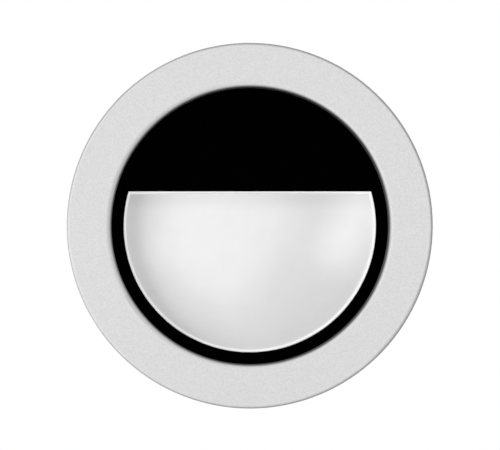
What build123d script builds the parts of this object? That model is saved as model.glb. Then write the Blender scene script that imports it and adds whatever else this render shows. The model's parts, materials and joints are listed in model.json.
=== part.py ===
from build123d import *
import math
import os

# Recessed wall marker light: a silver face ring, a black mask with a half-round opal window, and a sealed
# die-cast housing that pushes into a round hole and is held there by two sprung wings.
# Millimetres. X is to the right and Z is up as seen from the front, Y points into the wall.
# The origin is on the axis of the light, in the plane of the wall.

# The face ring, and how far it overlaps the hole in the wall
FACE_DIAMETER = 85.0
FACE_OVERLAP = 7.5
HOLE_CLEARANCE = 0.3
COLLAR_WALL = 1.2
COLLAR_LENGTH = 10.0
COLLAR_SPIGOT_WALL = 0.6
COLLAR_SPIGOT = 1.0
FACE_LIP = 4.0
FACE_LIP_REACH = 1.3
FACE_EDGE_ROUNDING = 0.7
OPENING_EDGE_ROUNDING = 1.2

# The wall gasket, which lies in a groove in the back of the ring
GASKET_THICKNESS = 1.6
GASKET_INNER_LAND = 1.3
GASKET_OUTER_LAND = 2.1

# The mask, which stands out from the wall, the diffuser and their seals
MASK_PROJECTION = 1.6
MASK_BAND = 2.8
MASK_PLATE = 1.3
LENS_FLAT_HEIGHT = 8.05
LENS_CLEARANCE = 0.1
DIFFUSER_PROUD = 0.2
DIFFUSER_RIM = 0.6
DIFFUSER_RIM_LAP = 0.1
DIFFUSER_RIM_STEP = 0.25
DIFFUSER_EDGE_ROUNDING = 0.1
DIFFUSER_DOME = 1.85
DIFFUSER_TOP_ROUNDING = 0.25
DIFFUSER_WALL = 1.8
DIFFUSER_FLANGE = 1.0
DIFFUSER_FLANGE_REACH = 1.6
DIFFUSER_SEAL = 0.6
FRONT_SEAL = 1.0

# The light engine
REFLECTOR_WALL = 1.1
REFLECTOR_FLOOR = 1.0
LED_GAP = 4.7
LED_SIZE = 3.0
LED_HEIGHT = 0.7
LED_PITCH = 11.0
LED_ROW_SPACING = 12.0
LED_TOP_ROW_HEIGHT = 2.0
LED_TOP_ROW_COUNT = 4
LED_LOWER_ROW_COUNT = 3
LED_WINDOW_CLEARANCE = 0.3
LED_BOARD_MARGIN = 1.0
LED_BOARD_THICKNESS = 1.5
LED_SCREW_INSET = 5.0
LED_SCREW_ANGLES = (30.0, 150.0, 270.0)
THERMAL_PAD = 0.5
PLUG_WIDTH = 7.0
PLUG_HEIGHT = 4.5
PLUG_DEPTH = 3.5
PLUG_INSET = 2.75

# The housing and its rear cover
PARTITION = 3.0
BODY_INSET = 1.0
BODY_WALL = 4.0
FLAT_DEPTH = 8.0
SIDE_WALL = 3.0
CHAMBER_DEPTH = 26.0
RIB_GROOVES = 5
RIB_GROOVE_WIDTH = 2.2
RIB_GROOVE_DEPTH = 1.8
BOSS_DIAMETER = 5.6
BOSS_INSET = 3.65
COVER_SCREW_ANGLES = (60.0, 120.0, 240.0, 300.0)
COVER_SEAL = 1.0
COVER_THICKNESS = 3.0
COVER_ROUNDING = 1.0

# The driver
POST_HEIGHT = 4.0
POST_DIAMETER = 5.2
POST_INSET = 3.0
DRIVER_SIDE_MARGIN = 3.5
DRIVER_CORNER_MARGIN = 3.0
DRIVER_THICKNESS = 1.6
TRANSFORMER_WIDTH = 10.0
TRANSFORMER_HEIGHT = 10.0
TRANSFORMER_DEPTH = 10.0
TRANSFORMER_X = -6.0
TRANSFORMER_Z = 1.0
TRANSFORMER_WINDOW = 2.2
TRANSFORMER_YOKE = 1.4
CAPACITOR_DIAMETER = 6.3
CAPACITOR_DEPTH = 11.0
CAPACITOR_X = 6.5
CAPACITOR_Z = 4.5
CAPACITOR_ROUNDING = 0.6
CAPACITOR_GROOVE_PLACE = 1.6
CAPACITOR_GROOVE_WIDTH = 0.8
CAPACITOR_GROOVE_DEPTH = 0.3
INDUCTOR_DIAMETER = 5.0
INDUCTOR_DEPTH = 5.0
INDUCTOR_X = 6.5
INDUCTOR_Z = -2.5
INDUCTOR_FLANGE = 1.2
INDUCTOR_WAIST = 0.6
HEADER_WIDTH = 6.0
HEADER_HEIGHT = 4.0
HEADER_DEPTH = 5.0
HEADER_INSET = 3.5
TERMINAL_POLES = 3
TERMINAL_PITCH = 3.8
TERMINAL_END = 0.6
TERMINAL_HEIGHT = 7.5
TERMINAL_DEPTH = 9.0
TERMINAL_INSET = 2.0
TERMINAL_WELL_DIAMETER = 2.8
TERMINAL_WELL_DEPTH = 2.7
TERMINAL_SCREW_HEIGHT = 2.0
TERMINAL_SLOT_DEPTH = 0.9
TERMINAL_ENTRY_PLACE = 3.2
TERMINAL_ENTRY_SIZE = 2.2
TERMINAL_ENTRY_DEPTH = 2.2

# The leads from the driver to the light engine
LEAD_DIAMETER = 1.0
LEAD_SPACING = 1.4
LEAD_BEND = 3.0
LEAD_INSET = 5.5
LEAD_BOARD_GAP = 5.5
GROMMET_BORE = 4.0
GROMMET_WALL = 1.0
GROMMET_FLANGE = 0.8
GROMMET_FLANGE_REACH = 1.0

# The cable gland and the breather
CABLE_DIAMETER = 6.0
CABLE_CLEARANCE = 0.3
GLAND_Z = -10.0
GLAND_SEAL_WALL = 1.9
GLAND_WALL = 0.75
GLAND_BORE_CLEARANCE = 0.6
GLAND_HEXAGON_REACH = 2.5
GLAND_HEXAGON = 4.0
GLAND_THREAD = 8.0
GLAND_WASHER = 1.0
GLAND_LOCKNUT = 4.0
GLAND_SHANK_SPARE = 1.0
GLAND_NUT_END = 2.0
GLAND_NUT_HEXAGON = 5.5
BREATHER_Z = 13.0
BREATHER_THREAD_DIAMETER = 6.0
BREATHER_THREAD_SPARE = 1.5
BREATHER_HEAD_REACH = 2.0
BREATHER_HEAD = 2.6
BREATHER_ROUNDING = 1.0
BREATHER_SLOTS = 6
BREATHER_SLOT_LENGTH = 1.2
BREATHER_SLOT_DEPTH = 0.7

# The sprung wings
BRACKET_SHEET = 1.2
BRACKET_SCREW_SPACING = 4.6
BRACKET_SCREW_GAP = 0.6
BRACKET_END = 3.0
PIN_DIAMETER = 2.5
PIN_HEAD = 0.8
PIN_HEAD_REACH = 0.75
PIN_HEAD_ROUNDING = 0.3
EAR_SHEET = 1.0
EAR_MARGIN = 1.15
WING_SHEET = 0.8
WING_WIDTH = 12.8
WING_ANGLE = 30.0
WING_ARM = 15.5
WING_TAIL = 7.2
WING_KNEE_ANGLE = 62.0
WING_KNEE_BEND = 2.5
WING_GAP = 0.3
STOP_GAP = 0.05
SPRING_WIRE = 0.8
SPRING_COIL_GAP = 0.6
SPRING_PIN_GAP = 0.85
SPRING_TURNS = 4
SPRING_FIXED_LEG = 6.0
SPRING_MOVING_LEG = 9.0

# The screws
SMALL_SCREW_DIAMETER = 2.0
SMALL_HEAD_DIAMETER = 3.8
SMALL_HEAD_HEIGHT = 1.3
SMALL_SCREW_BITE = 2.3
COVER_SCREW_DIAMETER = 2.5
COVER_HEAD_DIAMETER = 4.5
COVER_HEAD_HEIGHT = 1.7
COVER_SCREW_BITE = 7.0
HEAD_ROUNDING = 0.6
CROSS_LENGTH = 2.2
CROSS_WIDTH = 0.55
CROSS_DEPTH = 0.7
TAPPED_SPARE = 0.3
RING_SCREW_ANGLES = (90.0, 210.0, 330.0)
RING_SCREW_SETBACK = 2.7

# Clearances, and how near two measured places count as one
SAME_PLACE = 0.001
SLIP = 0.15
SCREW_CLEARANCE = 0.1
PIN_CLEARANCE = 0.05

# Places along the axis, from the face to the back
MASK_Y = -MASK_PROJECTION
FACE_Y = MASK_Y - FACE_LIP
RIM_FRONT_Y = MASK_Y - DIFFUSER_PROUD
DOME_EDGE_Y = RIM_FRONT_Y + DIFFUSER_RIM_STEP
DIFFUSER_SEAL_Y = MASK_Y + MASK_PLATE
DIFFUSER_FLANGE_Y = DIFFUSER_SEAL_Y + DIFFUSER_SEAL
MASK_BACK_Y = DIFFUSER_FLANGE_Y + DIFFUSER_FLANGE
HOUSING_Y = MASK_BACK_Y + FRONT_SEAL
LED_Y = MASK_BACK_Y + LED_GAP
LED_BOARD_Y = LED_Y + LED_HEIGHT
REFLECTOR_FLOOR_Y = LED_BOARD_Y - REFLECTOR_FLOOR
THERMAL_PAD_Y = LED_BOARD_Y + LED_BOARD_THICKNESS
PARTITION_Y = THERMAL_PAD_Y + THERMAL_PAD
SHOULDER_Y = PARTITION_Y + PARTITION
DRIVER_Y = SHOULDER_Y + POST_HEIGHT
DRIVER_BACK_Y = DRIVER_Y + DRIVER_THICKNESS
REAR_Y = SHOULDER_Y + CHAMBER_DEPTH
COVER_Y = REAR_Y + COVER_SEAL
COVER_BACK_Y = COVER_Y + COVER_THICKNESS
GLAND_HEXAGON_Y = COVER_BACK_Y + GLAND_WASHER
GLAND_THREAD_Y = GLAND_HEXAGON_Y + GLAND_HEXAGON
GLAND_END_Y = GLAND_THREAD_Y + GLAND_THREAD
RING_SCREW_Y = COLLAR_LENGTH - RING_SCREW_SETBACK

# Radii about the axis, from the face ring inwards
FACE_RADIUS = FACE_DIAMETER / 2
HOLE_RADIUS = FACE_RADIUS - FACE_OVERLAP
COLLAR_RADIUS = HOLE_RADIUS - HOLE_CLEARANCE
COLLAR_BORE = COLLAR_RADIUS - COLLAR_WALL
OPENING_RADIUS = COLLAR_BORE - FACE_LIP_REACH
GASKET_BORE = COLLAR_RADIUS + GASKET_INNER_LAND
GASKET_RADIUS = FACE_RADIUS - GASKET_OUTER_LAND
MASK_RADIUS = COLLAR_BORE - SLIP
LENS_RADIUS = OPENING_RADIUS - MASK_BAND
REFLECTOR_BORE = LENS_RADIUS + SLIP
REFLECTOR_RADIUS = REFLECTOR_BORE + REFLECTOR_WALL
HOUSING_BORE = REFLECTOR_RADIUS + SLIP
HOUSING_RADIUS = COLLAR_BORE - SLIP
LED_BOARD_RADIUS = REFLECTOR_BORE - LED_BOARD_MARGIN
BODY_RADIUS = COLLAR_BORE - BODY_INSET
CHAMBER_RADIUS = BODY_RADIUS - BODY_WALL
FLAT_X = BODY_RADIUS - FLAT_DEPTH
CHAMBER_X = FLAT_X - SIDE_WALL

# Places across the axis
LEAD_Z = CHAMBER_RADIUS - LEAD_INSET
LED_BOARD_TOP = LEAD_Z - LEAD_BOARD_GAP
PLUG_TOP = LED_BOARD_TOP - PLUG_INSET
DRIVER_HALF_WIDTH = CHAMBER_X - DRIVER_SIDE_MARGIN
DRIVER_HALF_HEIGHT = math.sqrt((CHAMBER_RADIUS - DRIVER_CORNER_MARGIN) ** 2 - DRIVER_HALF_WIDTH ** 2)
HEADER_TOP = DRIVER_HALF_HEIGHT - HEADER_INSET
TERMINAL_Z = TERMINAL_INSET + TERMINAL_HEIGHT / 2 - DRIVER_HALF_HEIGHT
TERMINAL_WIDTH = TERMINAL_POLES * TERMINAL_PITCH + 2 * TERMINAL_END
GLAND_SEAL_BORE = CABLE_DIAMETER / 2 + CABLE_CLEARANCE
GLAND_SEAL_RADIUS = GLAND_SEAL_BORE + GLAND_SEAL_WALL
GLAND_BORE = GLAND_SEAL_BORE + GLAND_BORE_CLEARANCE
GLAND_RADIUS = GLAND_SEAL_RADIUS + GLAND_WALL
GLAND_HEXAGON_RADIUS = GLAND_RADIUS + GLAND_HEXAGON_REACH
BREATHER_RADIUS = BREATHER_THREAD_DIAMETER / 2
BREATHER_HEAD_RADIUS = BREATHER_RADIUS + BREATHER_HEAD_REACH

# Places of the sprung wing on the right
BRACKET_X = FLAT_X + BRACKET_SHEET
BRACKET_Y = SHOULDER_Y + WING_GAP
STOP_Y = BRACKET_Y + BRACKET_SHEET
PIN_RADIUS = PIN_DIAMETER / 2
EAR_RADIUS = PIN_RADIUS + EAR_MARGIN
COIL_RADIUS = PIN_RADIUS + SPRING_PIN_GAP + SPRING_WIRE / 2
WING_OFFSET = COIL_RADIUS + SPRING_WIRE / 2 + SLIP + WING_SHEET / 2
WING_SLOPE = math.radians(WING_ANGLE)
WING_FOOT = (WING_OFFSET + WING_SHEET / 2) * math.sin(WING_SLOPE) + EAR_RADIUS * math.cos(WING_SLOPE)
PIVOT_X = BRACKET_X + SLIP + SPRING_WIRE / 2 + COIL_RADIUS
PIVOT_Y = STOP_Y + STOP_GAP + WING_FOOT
BRACKET_EAR_Z = WING_WIDTH / 2 + WING_GAP
BRACKET_HALF_WIDTH = BRACKET_EAR_Z + EAR_SHEET
BRACKET_SCREW_Y = PIVOT_Y + SPRING_FIXED_LEG + BRACKET_SCREW_GAP + SMALL_HEAD_DIAMETER / 2
BRACKET_BACK_Y = BRACKET_SCREW_Y + BRACKET_SCREW_SPACING + BRACKET_END


def around(radius, angles):
    """Places (x, z) on a circle about the axis."""
    return [
        (radius * math.cos(math.radians(angle)), radius * math.sin(math.radians(angle)))
        for angle in angles
    ]


LED_SCREW_PLACES = around(LED_BOARD_RADIUS - LED_SCREW_INSET, LED_SCREW_ANGLES)
COVER_SCREW_PLACES = around(BODY_RADIUS - BOSS_INSET, COVER_SCREW_ANGLES)
POST_PLACES = [
    (x * (DRIVER_HALF_WIDTH - POST_INSET), z * (DRIVER_HALF_HEIGHT - POST_INSET))
    for x in (-1, 1)
    for z in (-1, 1)
]
BRACKET_SCREW_PLACES = (BRACKET_SCREW_Y, BRACKET_SCREW_Y + BRACKET_SCREW_SPACING)
SMALL_HOLE = SMALL_SCREW_DIAMETER / 2 + SCREW_CLEARANCE
COVER_HOLE = COVER_SCREW_DIAMETER / 2 + SCREW_CLEARANCE


def disc(radius, y_front, y_back, x=0.0, z=0.0):
    """A cylinder along Y."""
    return Pos(x, (y_front + y_back) / 2, z) * Rot(90, 0, 0) * Cylinder(radius, y_back - y_front)


def tube(radius, bore, y_front, y_back, x=0.0, z=0.0):
    """A plain ring along Y."""
    return disc(radius, y_front, y_back, x, z) - disc(bore, y_front, y_back, x, z)


def prism(outline, y_front, y_back):
    """An outline drawn in X and Z, given a thickness along Y."""
    return Pos(0, y_back, 0) * extrude(Plane.XZ * outline, amount=y_back - y_front)


def block(width, depth, height, x, y_front, z):
    """A box that stands on the plane y_front, centred on x and z."""
    return Pos(x, y_front + depth / 2, z) * Box(width, depth, height)


def turned(outline):
    """A solid turned about Y from a face drawn in radius and Y."""
    return revolve(outline, axis=Axis.Y)


def end_edges(part, y):
    """The edges of a part's flat end at one place along the axis."""
    def fits(face):
        return abs(face.center().Y - y) < SAME_PLACE

    return part.faces().filter_by(Axis.Y).filter_by(fits).edges()


def rims(part, radius, y):
    """The circular edges of a turned part at one radius and one place along the axis."""
    def fits(edge):
        return abs(edge.arc_center.Y - y) < SAME_PLACE and abs(edge.radius - radius) < SAME_PLACE

    return part.edges().filter_by(GeomType.CIRCLE).filter_by(fits)


def half_round(radius, flat_height):
    """A disc cut off level above its centre."""
    band = Pos(0, (flat_height - radius) / 2) * Rectangle(2 * radius, flat_height + radius)
    return Circle(radius) & band


def lens_outline(margin):
    """The outline of the window, grown all round by a margin."""
    return half_round(LENS_RADIUS + margin, LENS_FLAT_HEIGHT + margin)


def body_outline(margin=0.0):
    """The rear body: a round with two flat sides."""
    return Circle(BODY_RADIUS + margin) & Rectangle(2 * (FLAT_X + margin), 2 * (BODY_RADIUS + margin))


def chamber_outline():
    """The hollow inside the rear body."""
    return Circle(CHAMBER_RADIUS) & Rectangle(2 * CHAMBER_X, 2 * CHAMBER_RADIUS)


def spots(places, radius):
    """Round spots at several places, as one outline."""
    return Sketch() + [Pos(x, z) * Circle(radius) for x, z in places]


def hexagon(inner_radius, y_front, y_back, z):
    """A hexagonal nut blank along Y."""
    return prism(Pos(0, z) * RegularPolygon(inner_radius, 6, major_radius=False), y_front, y_back)


def cross_slot():
    """The cross recess of a screw, centred on the top of its head."""
    arm = Box(CROSS_LENGTH, CROSS_WIDTH, 2 * CROSS_DEPTH)
    return arm + Rot(0, 0, 90) * arm


def pan_screw(diameter, head_diameter, head_height, length):
    """A pan head screw along +Z, its head resting on the plane Z = 0 and its shank below it."""
    head = Pos(0, 0, head_height / 2) * Cylinder(head_diameter / 2, head_height)
    head = fillet(head.faces().sort_by(Axis.Z)[-1].edges(), HEAD_ROUNDING)
    shank = Pos(0, 0, -length / 2) * Cylinder(diameter / 2, length)
    return head + shank - Pos(0, 0, head_height) * cross_slot()


def small_screw(length):
    """A small pan head screw."""
    return pan_screw(SMALL_SCREW_DIAMETER, SMALL_HEAD_DIAMETER, SMALL_HEAD_HEIGHT, length)


def flush_cone(margin, length):
    """A countersunk shape along +Z, grown by a margin, its widest end in the plane Z = 0."""
    head = SMALL_HEAD_DIAMETER / 2 + margin
    shank = SMALL_SCREW_DIAMETER / 2 + margin
    points = [(0, 0), (head, 0), (shank, shank - head), (shank, -length), (0, -length)]
    return revolve(Plane.XZ * make_face(Polyline(*points, close=True)), axis=Axis.Z)


def from_front(x, y, z):
    """Where a screw driven from the front stands."""
    return Pos(x, y, z) * Rot(90, 0, 0)


def from_back(x, y, z):
    """Where a screw driven from the back stands."""
    return Pos(x, y, z) * Rot(-90, 0, 0)


def from_side(radius, angle):
    """Where a radial screw in the collar stands, the top of its head at a radius."""
    return Rot(0, -angle, 0) * Pos(radius, RING_SCREW_Y, 0) * Rot(0, 90, 0)


def face_ring():
    """The visible ring, with a chamfered seat for the collar and a groove for the wall gasket in its back."""
    seat = COLLAR_BORE + COLLAR_SPIGOT_WALL + PIN_CLEARANCE
    mouth = COLLAR_RADIUS + PIN_CLEARANCE
    ring = turned(make_face(Polyline(
        (OPENING_RADIUS, FACE_Y),
        (FACE_RADIUS, FACE_Y),
        (FACE_RADIUS, 0),
        (GASKET_RADIUS, 0),
        (GASKET_RADIUS, -GASKET_THICKNESS),
        (GASKET_BORE, -GASKET_THICKNESS),
        (GASKET_BORE, 0),
        (mouth, 0),
        (seat, seat - mouth),
        (seat, -COLLAR_SPIGOT),
        (COLLAR_BORE, -COLLAR_SPIGOT),
        (COLLAR_BORE, MASK_Y),
        (OPENING_RADIUS, MASK_Y),
        close=True,
    )))
    ring = fillet(rims(ring, FACE_RADIUS, FACE_Y), FACE_EDGE_ROUNDING)
    return fillet(rims(ring, OPENING_RADIUS, FACE_Y), min(OPENING_EDGE_ROUNDING, FACE_LIP - SLIP))


def mounting_collar():
    """The tube that centres the light in its hole, seated in the back of the ring."""
    collar = tube(COLLAR_RADIUS, COLLAR_BORE, 0, COLLAR_LENGTH)
    collar += tube(COLLAR_BORE + COLLAR_SPIGOT_WALL, COLLAR_BORE, -COLLAR_SPIGOT, 0)
    for angle in RING_SCREW_ANGLES:
        collar -= from_side(COLLAR_RADIUS, angle) * flush_cone(SCREW_CLEARANCE, 2 * COLLAR_WALL)
    return collar


def wall_gasket():
    """The flat seal between the ring and the wall."""
    return tube(GASKET_RADIUS - SLIP, GASKET_BORE + SLIP, -GASKET_THICKNESS, 0)


def front_mask():
    """The black disc with the half-round window, rebated at the back for the diffuser."""
    mask = disc(MASK_RADIUS, MASK_Y, MASK_BACK_Y)
    mask -= prism(lens_outline(LENS_CLEARANCE), MASK_Y, MASK_BACK_Y)
    return mask - prism(lens_outline(DIFFUSER_FLANGE_REACH + SLIP), DIFFUSER_SEAL_Y, MASK_BACK_Y)


def level_dome(margin, y_edge):
    """A low dome inside the outline of the window, cut off level at its top, with a flat back."""
    radius = LENS_RADIUS - margin
    sphere = (radius ** 2 + DIFFUSER_DOME ** 2) / (2 * DIFFUSER_DOME)
    y_crown = y_edge - DIFFUSER_DOME
    outline = half_round(radius, LENS_FLAT_HEIGHT - margin)
    return Pos(0, y_crown + sphere, 0) * Sphere(sphere) & prism(outline, y_crown - DIFFUSER_DOME, MASK_BACK_Y)


def diffuser():
    """The opal window: a dome inside a thin rim, rounded along its top and hollow behind, with a flange."""
    body = prism(lens_outline(0), RIM_FRONT_Y, MASK_BACK_Y)
    body = fillet(end_edges(body, RIM_FRONT_Y), DIFFUSER_EDGE_ROUNDING)
    body -= prism(lens_outline(-DIFFUSER_RIM), RIM_FRONT_Y, DOME_EDGE_Y)
    dome = level_dome(DIFFUSER_RIM - DIFFUSER_RIM_LAP, DOME_EDGE_Y)
    top_edge = dome.faces().sort_by(Axis.Z)[-1].edges().filter_by(GeomType.CIRCLE)
    body += fillet(top_edge, DIFFUSER_TOP_ROUNDING)
    body += prism(lens_outline(DIFFUSER_FLANGE_REACH), DIFFUSER_FLANGE_Y, MASK_BACK_Y)
    return body - level_dome(DIFFUSER_RIM + DIFFUSER_WALL, DOME_EDGE_Y + DIFFUSER_WALL)


def diffuser_seal():
    """The soft cord round the window, between the mask and the diffuser's flange."""
    outline = lens_outline(DIFFUSER_FLANGE_REACH) - lens_outline(LENS_CLEARANCE)
    return prism(outline, DIFFUSER_SEAL_Y, DIFFUSER_FLANGE_Y)


def front_seal():
    """The flat ring between the mask and the rim of the housing."""
    return tube(MASK_RADIUS - SLIP, HOUSING_BORE + SLIP, MASK_BACK_Y, HOUSING_Y)


def led_places():
    """The (x, z) places of the light sources, row by row."""
    rows = (
        (LED_TOP_ROW_HEIGHT, LED_TOP_ROW_COUNT),
        (LED_TOP_ROW_HEIGHT - LED_ROW_SPACING, LED_LOWER_ROW_COUNT),
    )
    return [
        (LED_PITCH * (i - (count - 1) / 2), z)
        for z, count in rows
        for i in range(count)
    ]


def reflector():
    """The white cup between the light sources and the diffuser."""
    window = LED_SIZE + 2 * LED_WINDOW_CLEARANCE
    floor = half_round(REFLECTOR_BORE + REFLECTOR_WALL / 2, LED_BOARD_TOP)
    for x, z in led_places():
        floor -= Pos(x, z) * Rectangle(window, window)
    floor -= Pos(0, PLUG_TOP - PLUG_HEIGHT / 2) * Rectangle(PLUG_WIDTH + 2 * SLIP, PLUG_HEIGHT + 2 * SLIP)
    floor -= spots(LED_SCREW_PLACES, SMALL_HOLE)
    cup = tube(REFLECTOR_RADIUS, REFLECTOR_BORE, MASK_BACK_Y, LED_BOARD_Y)
    return cup + prism(floor, REFLECTOR_FLOOR_Y, LED_BOARD_Y)


def led_board_outline():
    """The board: a disc cut off level at the top, where the leads pass, with its screw holes."""
    return half_round(LED_BOARD_RADIUS, LED_BOARD_TOP) - spots(LED_SCREW_PLACES, SMALL_HOLE)


def led_board():
    """The metal-core board of the light sources."""
    return prism(led_board_outline(), LED_BOARD_Y, THERMAL_PAD_Y)


def thermal_pad():
    """The heat-conducting sheet under the board."""
    return prism(led_board_outline(), THERMAL_PAD_Y, PARTITION_Y)


def led_packages():
    """The light sources."""
    return Part() + [block(LED_SIZE, LED_HEIGHT, LED_SIZE, x, LED_Y, z) for x, z in led_places()]


def led_plug():
    """The connector of the leads on the front of the board."""
    return block(PLUG_WIDTH, PLUG_DEPTH, PLUG_HEIGHT, 0, LED_BOARD_Y - PLUG_DEPTH, PLUG_TOP - PLUG_HEIGHT / 2)


def led_screws():
    """The screws that clamp reflector and board to the partition."""
    screw = small_screw(PARTITION_Y - REFLECTOR_FLOOR_Y + SMALL_SCREW_BITE)
    return Part() + [from_front(x, REFLECTOR_FLOOR_Y, z) * screw for x, z in LED_SCREW_PLACES]


def housing_blank():
    """The housing before its holes: a cup for the light engine and a ribbed chamber for the driver."""
    body = disc(HOUSING_RADIUS, HOUSING_Y, SHOULDER_Y) - disc(HOUSING_BORE, HOUSING_Y, PARTITION_Y)
    shell = prism(body_outline(), SHOULDER_Y, REAR_Y) - prism(chamber_outline(), SHOULDER_Y, REAR_Y)
    shell += prism(spots(COVER_SCREW_PLACES, BOSS_DIAMETER / 2), SHOULDER_Y, REAR_Y)
    rib = (CHAMBER_DEPTH - RIB_GROOVES * RIB_GROOVE_WIDTH) / (RIB_GROOVES + 1)
    for i in range(RIB_GROOVES):
        groove_y = SHOULDER_Y + rib + i * (rib + RIB_GROOVE_WIDTH)
        groove_bottom = BODY_RADIUS - RIB_GROOVE_DEPTH
        shell -= tube(BODY_RADIUS + SLIP, groove_bottom, groove_y, groove_y + RIB_GROOVE_WIDTH)
    return body + shell + prism(spots(POST_PLACES, POST_DIAMETER / 2), SHOULDER_Y, DRIVER_Y)


def housing():
    """The die-cast housing with its tapped holes and the hole for the leads."""
    body = housing_blank()
    depth = SMALL_SCREW_BITE + TAPPED_SPARE
    body -= prism(spots(LED_SCREW_PLACES, SMALL_HOLE), PARTITION_Y, PARTITION_Y + depth)
    body -= prism(spots(POST_PLACES, SMALL_HOLE), DRIVER_Y - depth, DRIVER_Y)
    body -= prism(spots(COVER_SCREW_PLACES, COVER_HOLE), REAR_Y - COVER_SCREW_BITE - TAPPED_SPARE, REAR_Y)
    body -= disc(GROMMET_BORE / 2 + GROMMET_WALL, PARTITION_Y, SHOULDER_Y, 0, LEAD_Z)
    radial_hole = Cylinder(SMALL_HOLE, 2 * (COLLAR_RADIUS - HOUSING_BORE))
    for angle in RING_SCREW_ANGLES:
        body -= from_side(COLLAR_RADIUS, angle) * radial_hole
    for side in (1, -1):
        for y in BRACKET_SCREW_PLACES:
            body -= Pos(side * FLAT_X, y, 0) * Rot(0, 90, 0) * Cylinder(SMALL_HOLE, 2 * depth)
    return body


def ring_screws():
    """The flush screws that fix the collar to the housing."""
    screw = flush_cone(0, COLLAR_RADIUS - HOUSING_BORE - TAPPED_SPARE) - cross_slot()
    seat = COLLAR_RADIUS - SCREW_CLEARANCE
    return Part() + [from_side(seat, angle) * screw for angle in RING_SCREW_ANGLES]


def lead_grommet():
    """The soft bush that guards the leads in the partition."""
    neck = GROMMET_BORE / 2 + GROMMET_WALL
    flange = neck + GROMMET_FLANGE_REACH
    front_y = PARTITION_Y - GROMMET_FLANGE
    back_y = SHOULDER_Y + GROMMET_FLANGE
    bush = disc(neck - PIN_CLEARANCE, front_y, back_y, 0, LEAD_Z)
    bush += disc(flange, front_y, PARTITION_Y, 0, LEAD_Z)
    bush += disc(flange, SHOULDER_Y, back_y, 0, LEAD_Z)
    return bush - disc(GROMMET_BORE / 2, front_y, back_y, 0, LEAD_Z)


def lead(side):
    """One lead from the connector on the light engine, through the partition, to the driver."""
    x = side * LEAD_SPACING / 2
    front_y = LED_BOARD_Y - PLUG_DEPTH / 2
    back_y = DRIVER_BACK_Y + HEADER_DEPTH / 2
    start = (x, front_y, PLUG_TOP)
    end = (x, back_y, HEADER_TOP)
    route = FilletPolyline(start, (x, front_y, LEAD_Z), (x, back_y, LEAD_Z), end, radius=LEAD_BEND)
    section = Plane(origin=start, z_dir=(0, 0, 1)) * Circle(LEAD_DIAMETER / 2)
    wire = sweep(section, path=route)
    print("lead length", round(route.length, 2), "volume share", volume_share(wire, LEAD_DIAMETER, route))
    return wire


def volume_share(wire, diameter, route):
    """The volume of a swept wire as a share of its section times its length."""
    return round(wire.volume / (math.pi * diameter ** 2 / 4 * route.length), 4)


def driver_board():
    """The circuit board of the driver, on its four posts."""
    board = block(2 * DRIVER_HALF_WIDTH, DRIVER_THICKNESS, 2 * DRIVER_HALF_HEIGHT, 0, DRIVER_Y, 0)
    return board - prism(spots(POST_PLACES, SMALL_HOLE), DRIVER_Y, DRIVER_BACK_Y)


def driver_screws():
    """The screws that hold the driver's board to its posts."""
    screw = small_screw(DRIVER_THICKNESS + SMALL_SCREW_BITE)
    return Part() + [from_back(x, DRIVER_BACK_Y, z) * screw for x, z in POST_PLACES]


def transformer_windows(margin):
    """The two side windows of the transformer's core, shrunk by a margin."""
    width = TRANSFORMER_WINDOW - margin
    depth = TRANSFORMER_DEPTH - 2 * (TRANSFORMER_YOKE + margin)
    height = TRANSFORMER_HEIGHT
    y = DRIVER_BACK_Y + TRANSFORMER_YOKE + margin
    offset = (TRANSFORMER_WIDTH - width) / 2
    return Part() + [
        block(width, depth, height, TRANSFORMER_X + side * offset, y, TRANSFORMER_Z)
        for side in (1, -1)
    ]


def transformer():
    """The ferrite core of the transformer."""
    core = block(
        TRANSFORMER_WIDTH, TRANSFORMER_DEPTH, TRANSFORMER_HEIGHT, TRANSFORMER_X, DRIVER_BACK_Y, TRANSFORMER_Z)
    return core - transformer_windows(0)


def transformer_winding():
    """The taped winding in the two windows of the core."""
    return transformer_windows(SLIP)


def capacitor():
    """The smoothing capacitor, a can with a rounded edge and a groove."""
    radius = CAPACITOR_DIAMETER / 2
    top_y = DRIVER_BACK_Y + CAPACITOR_DEPTH
    can = disc(radius, DRIVER_BACK_Y, top_y, CAPACITOR_X, CAPACITOR_Z)
    can = fillet(end_edges(can, top_y), CAPACITOR_ROUNDING)
    groove_y = DRIVER_BACK_Y + CAPACITOR_GROOVE_PLACE
    bottom = radius - CAPACITOR_GROOVE_DEPTH
    return can - tube(radius, bottom, groove_y, groove_y + CAPACITOR_GROOVE_WIDTH, CAPACITOR_X, CAPACITOR_Z)


def inductor():
    """The drum-core choke."""
    radius = INDUCTOR_DIAMETER / 2
    top_y = DRIVER_BACK_Y + INDUCTOR_DEPTH
    drum = disc(radius, DRIVER_BACK_Y, top_y, INDUCTOR_X, INDUCTOR_Z)
    front_y = DRIVER_BACK_Y + INDUCTOR_FLANGE
    back_y = top_y - INDUCTOR_FLANGE
    return drum - tube(radius, radius - INDUCTOR_WAIST, front_y, back_y, INDUCTOR_X, INDUCTOR_Z)


def lead_header():
    """The connector of the leads on the driver's board."""
    return block(HEADER_WIDTH, HEADER_DEPTH, HEADER_HEIGHT, 0, DRIVER_BACK_Y, HEADER_TOP - HEADER_HEIGHT / 2)


def terminal_places():
    """The x places of the poles of the supply terminal."""
    return [TERMINAL_PITCH * (i - (TERMINAL_POLES - 1) / 2) for i in range(TERMINAL_POLES)]


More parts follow.
